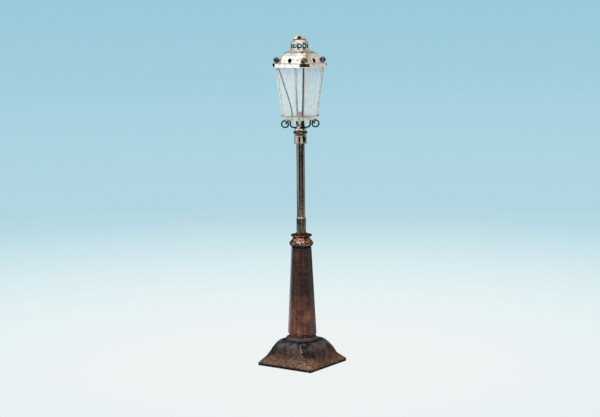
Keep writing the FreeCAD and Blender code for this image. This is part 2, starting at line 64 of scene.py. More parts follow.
def turned(angle):
    """Rotation about the lamp's axis by an angle in degrees."""
    return Matrix.Rotation(math.radians(angle), 3, "Z")


def circle(count):
    """Even steps round a circle, in radians."""
    return [2 * math.pi * k / count for k in range(count)]


# ---- node trees ----
WHITE = (1, 1, 1)


class Tree:
    """Short names for building a material's node tree on object coordinates."""

    def __init__(self, name):
        self.finish = bpy.data.materials.new(name)
        self.finish.use_nodes = True
        self.tree = self.finish.node_tree
        self.shader = self.tree.nodes["Principled BSDF"]
        self.place = self.new("TexCoord").outputs["Object"]

    def new(self, kind, **settings):
        """A new node of a kind, with its settings."""
        node = self.tree.nodes.new("ShaderNode" + kind)
        for name, value in settings.items():
            setattr(node, name, value)
        return node

    def put(self, value, socket):
        """Another node's socket, a colour or a plain value into an input."""
        if isinstance(value, bpy.types.NodeSocket):
            self.tree.links.new(value, socket)
        else:
            socket.default_value = (*value, 1) if isinstance(value, tuple) else value

    def set(self, **values):
        """Sockets or plain values into the shader's own inputs."""
        for name, value in values.items():
            self.put(value, self.shader.inputs[name.replace("_", " ")])

    def noise(self, grain, detail=4, rough=0.55, stretch=(1, 1, 1)):
        """Noise with features about grain millimetres wide, narrower where stretch is above 1."""
        place = self.new("Mapping")
        place.inputs["Scale"].default_value = [s / grain / MM for s in stretch]
        self.put(self.place, place.inputs["Vector"])
        node = self.new("TexNoise")
        self.put(place.outputs["Vector"], node.inputs["Vector"])
        for name, value in (("Scale", 1), ("Detail", detail), ("Roughness", rough)):
            self.put(value, node.inputs[name])
        return node.outputs["Fac"]

    def ramp(self, source, *stops):
        """Colour ramp; each stop is (position, colour or grey)."""
        node = self.new("ValToRGB")
        elements = node.color_ramp.elements
        while len(elements) < len(stops):
            elements.new(0.5)
        for element, (position, colour) in zip(elements, stops):
            element.position = position
            element.color = (*colour, 1) if isinstance(colour, tuple) else (colour, colour, colour, 1)
        self.put(source, node.inputs["Fac"])
        return node.outputs["Color"]

    def mix(self, factor, a, b, kind="MIX"):
        """Mix of two colours, each a socket or a fixed colour."""
        node = self.new("Mix", data_type="RGBA", blend_type=kind)
        for value, number in ((factor, 0), (a, 6), (b, 7)):
            self.put(value, node.inputs[number])
        return node.outputs[2]

    def tint(self, colour, by):
        """A colour times another."""
        return self.mix(1, colour, by, "MULTIPLY")

    def shaders(self, factor, a, b):
        """Mix of two shaders."""
        node = self.new("MixShader")
        for value, socket in zip((factor, a, b), node.inputs):
            self.put(value, socket)
        return node.outputs[0]

    def math(self, kind, a, b=0.0, clamp=False):
        """One sum of two sockets or numbers."""
        node = self.new("Math", operation=kind, use_clamp=clamp)
        self.put(a, node.inputs[0])
        self.put(b, node.inputs[1])
        return node.outputs[0]

    def times(self, a, b):
        """The product of two sockets or numbers."""
        return self.math("MULTIPLY", a, b)

    def rest(self, share, clamp=False):
        """What is left of 1."""
        return self.math("SUBTRACT", 1, share, clamp)

    def ragged(self, share, grain, detail, amount, clamp=False):
        """A share pushed up and down by noise."""
        push = self.times(self.math("SUBTRACT", self.noise(grain, detail), 0.5), amount)
        return self.math("ADD", share, push, clamp)

    def geometry(self, name):
        """One of the surface's own values, such as its normal."""
        return self.new("NewGeometry").outputs[name]

    def along(self, vector):
        """The three parts of a vector."""
        node = self.new("SeparateXYZ")
        self.put(vector, node.inputs[0])
        return node.outputs

    def edges(self, low, high):
        """1 on outward edges, 0 on flats."""
        return self.ramp(self.geometry("Pointiness"), (low, 0), (high, 1))

    def corners(self):
        """1 on faces that look out of a corner and 0 on the four sides."""
        x, y, _ = self.along(self.geometry("Normal"))
        both = self.math("ABSOLUTE", self.times(x, y))
        size = self.math("ADD", self.times(x, x), self.times(y, y))
        return self.ramp(self.math("DIVIDE", both, size), (0.3, 0), (0.42, 1))

    def right_side(self):
        """1 on faces that look along +X and 0 on the others."""
        return self.ramp(self.along(self.geometry("Normal"))["X"], (0.78, 0), (0.95, 1))

    def height(self, low, high, axis="Z"):
        """0 at the low height and 1 at the high one, in millimetres, or along another axis."""
        node = self.new("MapRange")
        self.put(self.along(self.place)[axis], node.inputs["Value"])
        self.put(low * MM, node.inputs["From Min"])
        self.put(high * MM, node.inputs["From Max"])
        return node.outputs[0]

    def between(self, start, full, fade, end):
        """1 from the full height to the fade height, falling to 0 at the start and the end."""
        return self.times(self.height(start, full), self.rest(self.height(fade, end)))

    def vector_math(self, kind, source, other=None):
        """One sum of a vector socket and a fixed vector."""
        node = self.new("VectorMath", operation=kind)
        self.put(source, node.inputs[0])
        if other:
            node.inputs[1].default_value = other
        return node.outputs["Value" if kind == "LENGTH" else "Vector"]

    def far(self, start, direction=None):
        """Distance in millimetres from a point, or from a line when a direction is given."""
        way = self.vector_math("SUBTRACT", self.place, [v * MM for v in start])
        if direction:
            way = self.vector_math("CROSS_PRODUCT", way, list(Vector(direction).normalized()))
        return self.math("DIVIDE", self.vector_math("LENGTH", way), MM)

    def near(self, start, reach, direction=None):
        """1 at a point or on a line, falling to 0 at a distance in millimetres."""
        return self.rest(self.math("DIVIDE", self.far(start, direction), reach), True)

    def gloss(self, grain, detail, low, high):
        """Patchy roughness between two values."""
        self.set(Roughness=self.ramp(self.noise(grain, detail), (0.3, low), (0.75, high)))

    def bump(self, grain, detail, depth, strength, stretch=(1, 1, 1)):
        """Surface relief, its depth in millimetres, on top of earlier relief."""
        node = self.new("Bump")
        normal = self.shader.inputs["Normal"]
        source = self.noise(grain, detail, stretch=stretch)
        for name, value in (("Strength", strength), ("Distance", depth * MM), ("Height", source)):
            self.put(value, node.inputs[name])
        if normal.links:
            self.put(normal.links[0].from_socket, node.inputs["Normal"])
        self.put(node.outputs["Normal"], normal)


# ---- camera, floor and light ----
# the camera's place in metres, and where its right and its top point
CAMERA_PLACE = (0.7933, -1.1410, 0.3311)
CAMERA_RIGHT = Vector((0.82134, 0.57037, -0.00933))
CAMERA_UP = Vector((-0.06885, 0.11536, 0.99093))
LENS, SENSOR, VIEW_END = 92.83, 36, 20

# (radius, height) of the studio sweep, in metres; the first span is the flat floor
SWEEP = [(0, 0), (0.9, 0), (1.3, 0.01), (1.65, 0.06), (1.95, 0.18), (2.15, 0.36), (2.25, 0.6), (2.3, 1)]
# (distance from the lamp in metres, colour) of the paper, white under the lamp and sky blue far off
PAPER = [
    (0.00, (0.86, 0.888, 0.896)), (0.18, (0.85, 0.888, 0.9)), (0.3, (0.807, 0.886, 0.896)),
    (0.42, (0.755, 0.871, 0.888)), (0.57, (0.68, 0.831, 0.863)), (0.67, (0.617, 0.791, 0.839)),
    (0.78, (0.558, 0.761, 0.815)), (0.92, (0.491, 0.701, 0.784)), (1.12, (0.447, 0.682, 0.763)),
    (1.4, (0.438, 0.67, 0.761)), (1.82, (0.392, 0.644, 0.745)), (1.98, (0.352, 0.617, 0.723)),
    (2.14, (0.328, 0.591, 0.701)), (2.5, (0.3, 0.56, 0.68)),
]
ROOM = (0.95, 0.86, 0.76)
ROOM_GLOW = 0.3
BLACK = (0.012, 0.012, 0.014)
LOW_CARD = [(1.06, 0), (1.06, 0.105)]
# (name, (radius, height) line in metres, first and last compass angle, colour, glow) of the cards
CARDS = [
    ("table_left", LOW_CARD, -112, -74, BLACK, 0),
    ("table_middle", LOW_CARD, -74, -28, (0.9, 0.95, 1), 0.13),
    ("table_right", LOW_CARD, -28, 8, BLACK, 0),
    ("low_key", [(1.1, 0), (1.1, 0.12)], -176, -112, (1, 0.93, 0.88), 0.45),
    ("low_side", [(1.1, 0), (1.1, 0.11)], 8, 80, (1, 0.95, 0.9), 0.3),
    ("key_bar", [(1.05, 0.1), (1.05, 1.3), (0.7, 1.7)], -152, -145, BLACK, 0),
    ("back_bar", [(1.05, 0.02), (1.05, 1), (0.8, 1.5)], 84, 92, (0.1, 0.1, 0.11), 0.05),
    ("middle_gap", [(1.05, 0.1), (1.05, 0.5)], -92, -60, BLACK, 0),
    ("low_gap", [(1.04, 0.1), (1.04, 0.17)], -26, 60, BLACK, 0),
    ("right_gap", [(1.05, 0.1), (1.05, 0.9)], -12, 30, BLACK, 0),
    ("side_card", [(1.1, 0.11), (1.1, 1.25), (0.75, 1.7)], 31, 80, (1, 0.9, 0.78), 0.7),
    ("key_card", [(1.1, 0.12), (1.1, 1.4), (0.75, 1.8), (0.1, 1.86)], -168, -66, (1, 0.985, 0.96), 1.35),
    ("second_card", [(1.1, 0.12), (1.1, 1.3), (0.75, 1.8), (0.1, 1.86)], -66, -12, (1, 0.955, 0.89), 1.15),
    ("top_card", [(0.05, 1.9), (0.95, 1.88)], -12, 192, (1, 0.98, 0.95), 0.95),
]


def add_camera():
    """Camera a little above the lantern, on the front right, with a long lens."""
    data = bpy.data.cameras.new("camera")
    data.sensor_width = SENSOR
    data.lens = LENS
    data.clip_end = VIEW_END
    camera = bpy.data.objects.new("camera", data)
    turn = Matrix((CAMERA_RIGHT, CAMERA_UP, CAMERA_RIGHT.cross(CAMERA_UP))).transposed()
    camera.matrix_world = Matrix.Translation(CAMERA_PLACE) @ turn.to_4x4()
    bpy.context.scene.collection.objects.link(camera)
    bpy.context.scene.camera = camera


def stage_piece(name, line, first, last, finish, in_mirrors=True, in_sight=True):
    """A (radius, height) line swept between two angles, which mirrors or the camera may not see."""
    turns = [math.radians(t) for t in np.linspace(first, last, round((last - first) / 4) + 1)]
    points = [(r * math.cos(t), r * math.sin(t), z) for t in turns for r, z in line]
    count = len(line)
    starts = [k * count + i for k in range(len(turns) - 1) for i in range(count - 1)]
    faces = [(a, a + 1, a + 1 + count, a + count) for a in starts]
    mesh = bpy.data.meshes.new(name)
    mesh.from_pydata(points, [], faces)
    mesh.polygons.foreach_set("use_smooth", [True] * len(mesh.polygons))
    mesh.materials.append(finish)
    piece = bpy.data.objects.new(name, mesh)
    piece.visible_glossy = piece.visible_diffuse = in_mirrors
    piece.visible_camera = piece.visible_transmission = in_sight
    bpy.context.scene.collection.objects.link(piece)


def add_sweep():
    """Sweep of evenly lit paper: a white floor with a low blue wall, of which mirrors see the back."""
    t = Tree("sweep_paper")
    widest = PAPER[-1][0]
    share = t.math("DIVIDE", t.vector_math("LENGTH", t.place), widest)
    paper = t.ramp(share, *[(distance / widest, colour) for distance, colour in PAPER])
    t.set(Emission_Color=paper, Emission_Strength=1.0, Base_Color=(0, 0, 0), Specular_IOR_Level=0)
    bend = flow(SWEEP, 10)[10:]
    floor = [(r, 0) for r in (0.001, 0.12, 0.3, 0.5, 0.7)] + [tuple(bend[0])]
    stage_piece("floor", floor, 0, 360, t.finish)
    stage_piece("back_paper", bend, 80, 168, t.finish)
    stage_piece("side_paper", bend, 168, 440, t.finish, in_mirrors=False)


def add_light():
    """Cards that only reflections see: lit and black ones round the lamp, and a dull room."""
    world = bpy.data.worlds.new("studio")
    world.use_nodes = True
    sky = world.node_tree.nodes["Background"]
    sky.inputs["Color"].default_value = (*ROOM, 1)
    sky.inputs["Strength"].default_value = ROOM_GLOW
    bpy.context.scene.world = world
    for name, line, first, last, colour, glow in CARDS:
        t = Tree(name + "_cloth")
        t.set(
            Base_Color=(0, 0, 0) if glow else colour, Roughness=1.0, Specular_IOR_Level=0,
            Emission_Color=colour, Emission_Strength=glow,
        )
        stage_piece(name, line, first, last, t.finish, in_sight=False)


# ---- shapes ----
def lift(height, *points):
    """Outline points whose second number counts up from a height."""
    return [(r, height + z) for r, z in points]


def flow(points, count):
    """A smooth line through the points, with count steps between neighbours."""
    line = [Vector(p) for p in points]
    ends = [2 * line[0] - line[1]] + line + [2 * line[-1] - line[-2]]
    out = []
    for i in range(1, len(ends) - 2):
        a, b, c, d = ends[i - 1 : i + 3]
        bend, twist = 2 * a - 5 * b + 4 * c - d, 3 * b - a - 3 * c + d
        for s in range(count):
            t = s / count
            out.append(0.5 * (2 * b + (c - a) * t + bend * t * t + twist * t ** 3))
    return out + [line[-1]]


def eased(points, size, steps=4):
    """A closed outline with its corners rounded over the given length."""
    out = []
    count = len(points)
    for i, corner in enumerate(Vector(p) for p in points):
        before, after = Vector(points[i - 1]) - corner, Vector(points[(i + 1) % count]) - corner
        reach = min(size, 0.45 * before.length, 0.45 * after.length)
        start, end = corner + before.normalized() * reach, corner + after.normalized() * reach
        for s in range(steps + 1):
            t = s / steps
            out.append(start * (1 - t) ** 2 + corner * 2 * t * (1 - t) + end * t * t)
    return out


def mesh_piece(name, points, faces, finish, node=None, sharp=40, body="lamp"):
    """A piece of the lamp from points in millimetres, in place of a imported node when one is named."""
    mesh = bpy.data.meshes.new(name)
    mesh.from_pydata([Vector(p) * MM for p in points], [], faces)
    shape = bmesh.new()
    shape.from_mesh(mesh)
    bmesh.ops.remove_doubles(shape, verts=shape.verts, dist=1e-7)
    bmesh.ops.recalc_face_normals(shape, faces=shape.faces)
    shape.to_mesh(mesh)
    shape.free()
    smooth(mesh, sharp)
    mesh.materials.append(finish)
    piece = bpy.data.objects.new(name, mesh)
    bpy.context.scene.collection.objects.link(piece)
    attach(piece, body)
    if node:
        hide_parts(node)
    return piece


def smooth(mesh, sharp=40):
    """Smooth shading, with edges kept where faces turn by more than the sharp angle."""
    mesh.polygons.foreach_set("use_smooth", [True] * len(mesh.polygons))
    mesh.set_sharp_from_angle(angle=math.radians(sharp))


def skin(name, rings, finish, node=None, ends="open", sharp=40, body="lamp", turn=0):
    """A piece from rings of equal numbers of points, where a ring of one point is a pole.

    Its ends are "open", "capped" or "joined" to each other, and it is turned about the axis."""
    count = max(len(ring) for ring in rings)
    if turn:
        rings = [[turned(turn) @ Vector(p) for p in ring] for ring in rings]
    points, rows, faces = [], [], []
    for ring in rings:
        first = len(points)
        rows.append([first] * count if len(ring) == 1 else list(range(first, first + count)))
        points += ring
    following = rows[1:] + rows[:1] if ends == "joined" else rows[1:]
    for a, b in zip(rows, following):
        for k in range(count):
            m = (k + 1) % count
            face = list(dict.fromkeys((a[k], a[m], b[m], b[k])))
            if len(face) > 2:
                faces.append(face)
    if ends == "capped":
        faces += [rows[0][::-1], rows[-1]]
    return mesh_piece(name, points, faces, finish, node, sharp, body)


def lathe(name, outline, finish, node=None, turns=96, body="lamp"):
    """A turned piece from a closed outline of (radius, height) points."""
    step = 2 * math.pi / turns
    rings = []
    for r, z in outline:
        around = [(r * math.cos(k * step), r * math.sin(k * step), z) for k in range(turns)]
        rings.append([(0, 0, z)] if r < 1e-6 else around)
    return skin(name, rings, finish, node, "joined", body=body)


def ring_of(corners, z, ease, run, arc):
    """One ring: a polygon of (x, y) corners at height z with eased corners and divided sides."""
    soft = eased(corners, ease, arc)
    out = []
    for i in range(len(corners)):
        out += [(p.x, p.y, z) for p in soft[i * (arc + 1) : (i + 1) * (arc + 1)]]
        start, end = soft[(i + 1) * (arc + 1) - 1], soft[((i + 1) * (arc + 1)) % len(soft)]
        for s in range(1, run):
            p = start.lerp(end, s / run)
            out.append((p.x, p.y, z))
    return out


def cut_square(half, leg):
    """Corners of a square whose corners are cut off."""
    short = half - leg
    points = []
    for sx, sy in QUARTERS:
        first, second = (half * sx, short * sy), (short * sx, half * sy)
        points += [first, second] if sx * sy > 0 else [second, first]
    return points


def octagon(radius):
    """Corners of a regular octagon with flats square to X and Y."""
    turns = [math.radians(22.5 + 45 * k) for k in range(8)]
    return [(radius * math.cos(t), radius * math.sin(t)) for t in turns]


def dented(points, amount, grain):
    """The points moved in and out a little, as hand-worked sheet is."""
    out = []
    for p in points:
        v = Vector(p)
        push = noise.noise(v / grain) + 0.5 * noise.noise(v * 2.3 / grain)
        side = Vector((v.x, v.y, 0)).normalized() if v.x or v.y else Vector((0, 0, 0))
        out.append(v + side * push * amount)
    return out


def settle(piece):
    """Applies a piece's modifiers to its mesh."""
    graph = bpy.context.evaluated_depsgraph_get()
    mesh = bpy.data.meshes.new_from_object(piece.evaluated_get(graph))
    piece.modifiers.clear()
    piece.data = mesh


def thicken(piece, thickness):
    """Gives a skin its sheet thickness, inwards."""
    solid = piece.modifiers.new("thickness", "SOLIDIFY")
    solid.thickness = thickness * MM
    solid.offset = -1
    solid.use_even_offset = True
    settle(piece)


def soot_and_shade(piece, finish, holes=()):
    """A second material on the faces that look inwards or down, and on the walls of the holes: soot and
    painted shade.
    """
    piece.data.materials.append(finish)
    for face in piece.data.polygons:
        out = Vector((face.center.x, face.center.y, 0)).normalized()
        spot = face.center / MM
        wall = False
        for centre, along, radius, _ in holes:
            wall = wall or (spot - Vector(centre)).cross(Vector(along).normalized()).length < radius
        if wall or face.normal.z < -0.5 or face.normal.dot(out) < -0.2:
            face.material_index = 1


def punch(piece, holes):
    """Cuts round holes: each is (centre, direction, radius, length) in millimetres."""
    shape = bmesh.new()
    for centre, direction, radius, length in holes:
        turn = Vector(direction).to_track_quat("Z", "Y").to_matrix().to_4x4()
        bmesh.ops.create_cone(
            shape, cap_ends=True, segments=40, radius1=radius * MM, radius2=radius * MM, depth=length * MM,
            matrix=Matrix.Translation(Vector(centre) * MM) @ turn,
        )
    mesh = bpy.data.meshes.new("cutter")
    shape.to_mesh(mesh)
    shape.free()
    cutter = bpy.data.objects.new("cutter", mesh)
    bpy.context.scene.collection.objects.link(cutter)
    cut = piece.modifiers.new("holes", "BOOLEAN")
    cut.operation, cut.solver, cut.object = "DIFFERENCE", "EXACT", cutter
    settle(piece)
    bpy.data.objects.remove(cutter)
    smooth(piece.data)


# ---- materials ----
CHIP = (0.74, 0.68, 0.6)
BARE_LIP = (0.5, 0.36, 0.26)
# where the chips run down the foot's front right edge, how wide, and which way
TRAIL_START, TRAIL_WIDE, TRAIL_WAY = (14.9, -23.4, 16.3), 1.7, (9, -9, -12.3)
# heights between which each finish, painted shade, painted highlight or painted sheen changes into the next
SHAFT_FADE, SHAFT_DIRT, SHAFT_RUBBED = (34, 74), (28, 42), (70, 100)
LIP_FADE, LIP_SHADE, DOME_SHEEN, RING_START = (4, 15), (1.6, 3.1), (15.5, 22.5), (22.15, 22.6)
LOW_GROOVE, HIGH_GROOVE = (22.7, 23.1), (23.7, 23.9, 24.2, 24.4)
COVE_HIGHLIGHT, OVOLO_HIGHLIGHT = (116.4, 117, 118.5, 119), (112.4, 113.1, 116.2, 116.8)
UNDER_RING_SHADE, CUP_START = (40, 41, 110.2, 111.2), (200, 201)


def flecks(t, colour, extra):
    """Cream chips over a colour, thicker where extra is high and down the front right corner."""
    trail = t.times(t.near(TRAIL_START, TRAIL_WIDE, TRAIL_WAY), 0.22)
    more = t.math("ADD", trail, t.times(extra, 0.06))
    return t.mix(t.ramp(t.math("ADD", t.noise(0.9, 1), more), (0.8, 0), (0.82, 1)), colour, CHIP)


def paint():
    """The shaft's worn brown paint: darker upwards, with painted shade on the faces to the right, dirty and
    chipped below.
    """
    t = Tree("brown_paint")
    blotch = t.ramp(t.noise(8, 5), (0.36, (0.1, 0.03, 0.02)), (0.64, (0.285, 0.096, 0.054)))
    colour = t.tint(blotch, t.ramp(t.noise(1.8, 5, stretch=(1, 1, 0.07)), (0.36, 0.5), (0.66, 1.3)))
    colour = t.tint(colour, t.mix(t.ragged(t.height(*SHAFT_FADE), 12, 4, 1.2, True), WHITE, (0.2, 0.2, 0.26)))
    # painted shade: faces that look along +X darkened to about two thirds
    colour = t.tint(colour, t.mix(t.right_side(), WHITE, (0.64, 0.62, 0.62)))
    rubbed = t.times(t.edges(0.52, 0.58), t.ramp(t.noise(1.6, 6), (0.42, 0), (0.6, 1)))
    colour = t.mix(t.times(rubbed, t.rest(t.height(*SHAFT_RUBBED))), colour, (0.36, 0.15, 0.08))
    low = t.rest(t.height(*SHAFT_DIRT))
    dirt = t.times(low, t.ramp(t.noise(2.6, 6), (0.5, 0), (0.62, 1)))
    colour = t.mix(dirt, colour, (0.045, 0.02, 0.015))
    t.set(Base_Color=flecks(t, colour, low), Specular_IOR_Level=0.28)
    t.gloss(4, 5, 0.22, 0.46)
    t.bump(0.5, 4, 0.03, 0.6)
    t.bump(4, 4, 0.16, 0.7)
    return t.finish


def foot_paint():
    """The foot's paint: dark on the dome, rubbed to orange-brown on the flare, a grooved ring, and painted
    light, shade and sheen on the dome, the lip and in the grooves.
    """
    t = Tree("foot_paint")
    lip = t.ramp(
        t.noise(1.5, 6, 0.58, stretch=(0.7, 0.7, 2.0)), (0.32, (0.05, 0.028, 0.02)),
        (0.46, (0.14, 0.082, 0.056)), (0.58, (0.25, 0.148, 0.098)), (0.7, BARE_LIP),
    )
    dome = t.ramp(
        t.noise(5, 5, stretch=(1, 1, 0.6)), (0.34, (0.032, 0.022, 0.02)), (0.5, (0.066, 0.046, 0.041)),
        (0.66, (0.125, 0.078, 0.066)),
    )
    # painted light and shade: the dome darker towards -X and lighter towards +X
    dome = t.tint(dome, t.ramp(t.height(-18, 24, "X"), (0, 0.64), (1, 1.38)))
    # painted shade: the dome's cut corner faces darkened to about a third
    dome = t.tint(dome, t.mix(t.corners(), (0.88, 0.85, 0.85), (0.32, 0.3, 0.3)))
    # painted light: the lip lighter towards the back, along +Y
    lip = t.tint(lip, t.ramp(t.height(0, 29, "Y"), (0, 1), (1, 1.4)))
    # painted light: a brighter patch on the lip round its front right corner
    lip = t.tint(lip, t.mix(t.near((29.0, -25.0, 3.0), 18.0), (0.92, 0.92, 0.92), (1.7, 1.55, 1.45)))
    # painted reflection: a patchy bluish-grey sheen high on the dome
    painted_sheen = t.times(t.height(*DOME_SHEEN), t.ramp(t.noise(6, 4), (0.42, 0), (0.6, 0.8)))
    dome = t.mix(painted_sheen, dome, (0.205, 0.215, 0.238))
    colour = t.mix(t.ramp(t.ragged(t.height(*LIP_FADE), 4, 5, 1.3), (0.1, 0), (0.8, 1)), lip, dome)
    colour = t.mix(t.rest(t.height(*LIP_SHADE)), colour, (0.01, 0.007, 0.006))
    ring = t.mix(t.noise(2, 5), (0.062, 0.05, 0.05), (0.2, 0.178, 0.178))
    # painted shade: near black bands in the ring's two grooves
    groove_shade = t.math("MAXIMUM", t.rest(t.height(*LOW_GROOVE)), t.between(*HIGH_GROOVE))
    colour = t.mix(t.height(*RING_START), colour, t.mix(groove_shade, ring, (0.014, 0.01, 0.009)))
    rubbed = t.times(t.edges(0.512, 0.55), t.ramp(t.noise(0.9, 4), (0.5, 0), (0.58, 1)))
    colour = flecks(t, t.mix(rubbed, colour, BARE_LIP), t.height(24, 23))
    t.set(Base_Color=colour, Specular_IOR_Level=0.2, Metallic=0.6, Specular_Tint=(0.06, 0.05, 0.05))
    t.gloss(3, 5, 0.3, 0.58)
    t.bump(0.6, 4, 0.04, 0.6)
    t.bump(3.5, 4, 0.2, 0.8)
    return t.finish


def plated(
    name, bright, dull, tarnish, grain=4, gloss=(0.12, 0.3), streaky=1.0, relief=0.05, edge=1.0,
    clean=0.0, metal=1.0, dark_band=None, reflection_spot=None, painted_shade=None,
):
    """Polished plate with cloudy tarnish, specks and fine scratches.

    The band is four heights and a share of patchy darkening, the spot a point round which a painted dark
    reflection sits, and the shade a point, a reach and a share of painted shade."""
    t = Tree(name)
    cloud = t.noise(grain, 6, stretch=(1, 1, streaky))
    # painted shade: more of the tarnish colour round a point
    if painted_shade:
        point, reach, deep = painted_shade
        cloud = t.math("SUBTRACT", cloud, t.times(t.near(point, reach), deep))
    colour = t.ramp(cloud, (0.36 - clean, tarnish), (0.5 - clean, dull), (0.62 - clean, bright))
    specks = t.ramp(t.noise(0.6, 3), (0.66 + clean / 4, 0), (0.73 + clean / 4, 1))
    colour = t.mix(specks, colour, tarnish)
    # a patchy darker band between heights
    if dark_band:
        patchy = t.times(t.between(*dark_band[:4]), t.ramp(t.noise(1.4, 5), (0.38, 0.35), (0.6, 1)))
        colour = t.mix(t.times(patchy, dark_band[4]), colour, tuple(0.4 * c for c in tarnish))
    # painted reflection: a dark spot round a point
    if reflection_spot:
        near = t.math("ADD", t.times(t.far(reflection_spot), 0.2), t.times(t.noise(1.6, 4), 0.3))
        colour = t.mix(t.ramp(near, (0.55, 1), (0.62, 0)), colour, (0.05, 0.03, 0.025))
    t.set(Base_Color=colour, Metallic=metal, Specular_Tint=(edge, edge, edge))
    t.gloss(grain * 0.6, 6, *gloss)
    t.bump(0.35, 3, 0.006, 0.5, stretch=(1, 1, 0.15))
    t.bump(4.5, 2, relief, 0.6)
    return t.finish


def copper():
    """Copper plate: painted highlights in the cove and on the ovolo, bright on the cup, dull on the rings,
    painted shade under them.
    """
    t = Tree("copper")
    cloud = t.noise(2.0, 6)
    bright = (0.38, (0.06, 0.022, 0.016)), (0.5, (0.36, 0.105, 0.045)), (0.64, (0.92, 0.42, 0.24))
    dull = (0.42, (0.04, 0.027, 0.025)), (0.52, (0.175, 0.108, 0.092)), (0.62, (0.46, 0.35, 0.32))
    # painted highlights: bright bands on the cove and, fainter, on the ovolo; the cup is bright copper
    highlights_and_cup = t.math("MAXIMUM", t.between(*COVE_HIGHLIGHT), t.times(t.between(*OVOLO_HIGHLIGHT), 0.45))
    highlights_and_cup = t.math("MAXIMUM", highlights_and_cup, t.height(*CUP_START))
    colour = t.mix(highlights_and_cup, t.ramp(cloud, *dull), t.ramp(cloud, *bright))
    # painted shade: near black below the capital's rings
    colour = t.mix(t.between(*UNDER_RING_SHADE), colour, (0.035, 0.022, 0.018))
    colour = t.mix(t.ramp(t.noise(0.9, 3), (0.66, 0), (0.69, 1)), colour, (0.95, 0.88, 0.82))
    t.set(Base_Color=colour, Metallic=0.92, Specular_Tint=(0.15, 0.14, 0.14))
    t.gloss(1.5, 5, 0.14, 0.36)
    t.bump(1.2, 4, 0.08, 0.7)
    return t.finish


def rough_metal(name, colour, roughness):
    """Unpolished metal for hidden pieces."""
    t = Tree(name)
    shade = t.ramp(t.noise(1.5, 6), (0.3, tuple(0.55 * c for c in colour)), (0.7, colour))
    gloss = t.ramp(t.noise(0.8, 4), (0.3, roughness), (0.7, min(1, roughness + 0.25)))
    t.set(Base_Color=shade, Roughness=gloss, Metallic=0.9)
    t.bump(0.4, 4, 0.03, 0.6)
    return t.finish


def glass():
    """Old glass with a film of dust and faint drips; it throws hardly any shadow."""
    t = Tree("glass")
    gloss = t.ramp(t.noise(6, 6), (0.35, 0), (0.8, 0.08))
    t.set(IOR=1.45, Transmission_Weight=1.0, Base_Color=(0.985, 0.995, 1), Roughness=gloss)
    dust, clear = t.new("BsdfDiffuse"), t.new("BsdfTransparent")
    t.put((1, 0.98, 0.97), dust.inputs["Color"])
    t.put((0.94, 0.96, 0.97), clear.inputs["Color"])
    film = t.ramp(t.noise(3.2, 3, 0.5, stretch=(1, 1, 0.05)), (0.34, 0.11), (0.5, 0.19), (0.66, 0.31))
    hazy = t.shaders(film, t.shader.outputs[0], dust.outputs[0])
    pick = t.shaders(t.new("LightPath").outputs["Is Shadow Ray"], hazy, clear.outputs[0])
    t.put(pick, t.tree.nodes["Material Output"].inputs["Surface"])
    return t.finish


def crack():
    """The dark edge of a crack in a pane."""
    t = Tree("crack")
    shade = t.ramp(t.noise(1, 3), (0.3, (0.012, 0.012, 0.012)), (0.7, (0.045, 0.042, 0.04)))
    t.set(Base_Color=shade, Roughness=t.ramp(t.noise(0.5, 3), (0.3, 0.25), (0.7, 0.5)))
    return t.finish


# ---- pedestal ----
DENT_MIDDLE, DENT_REACH, DENT_DEPTH = 15.5, 9.5, 1.5
FOOT_SHEET, SHAFT_SHEET = 1.1, 0.9
SHAFT_LOW, SHAFT_HIGH, UNDERCUT = 13.42, 9.4, 2.9


def knocked(point):
    """The point pushed in by the old knock on the foot's front left corner."""
    v = Vector(point)
    out = Vector((v.x, v.y, 0)).normalized()
    beside = (out - Vector((-1, -1, 0)).normalized()).length * 1.6
    above = abs(v.z - DENT_MIDDLE) / DENT_REACH
    push = max(0, 1 - beside * beside) ** 2 * max(0, 1 - above * above) ** 2
    return v - out * push * DENT_DEPTH


def make_foot(finish):
    """Pressed foot with a rolled lip, a bell-shaped flare and cut corners that run out."""
    half, _, top = span("foot_shell")
    # (height, step in from the lip, leg of the cut corner)
    rows = [
        (0, 0.35, 0.5), (0.5, 0.04, 0.5), (2, 0.04, 0.5), (2.9, 0.15, 0.6), (3.5, 0.75, 1),
        (5.1, 1.7, 2.4), (7.4, 2.75, 5.4), (10.3, 3.5, 7.6), (13.1, 4.4, 8.3), (16.3, 5.9, 8.5),
        (19.3, 8.1, 8.4), (21.6, 10.5, 8.2), (top - 0.1, 12.6, 7.9), (top, 14.2, 7.2),
    ]
    rings = []
    for z, side, leg in flow([(z, half - step, leg) for z, step, leg in rows], 5):
        ring = ring_of(cut_square(side, leg), z, min(1, 0.3 * leg + 0.15), 12, 5)
        rings.append([knocked(p) for p in dented(ring, 0.12 if z > 2.95 else 0, 7)])
    rings.append(ring_of(octagon(12), top, 0.5, 12, 5))
    thicken(skin("foot", rings, finish, "foot_shell"), FOOT_SHEET)


def make_plinth(finish):
    """Octagonal moulding with a worn upper edge."""
    reach, bottom, top = span("plinth_ring")
    radius = reach / math.cos(math.radians(22.5))
    outline = lift(bottom, (11.2, 0), (radius, 0), (radius, 0.9), (radius - 0.5, 2.0))
    outline += [(radius - 1.5, top), (11.2, top)]
    rings = [ring_of(octagon(p.x), p.y, 0.5, 4, 4) for p in eased(outline, 0.35, 3)]
    skin("plinth", rings, finish, "plinth_ring", "joined")


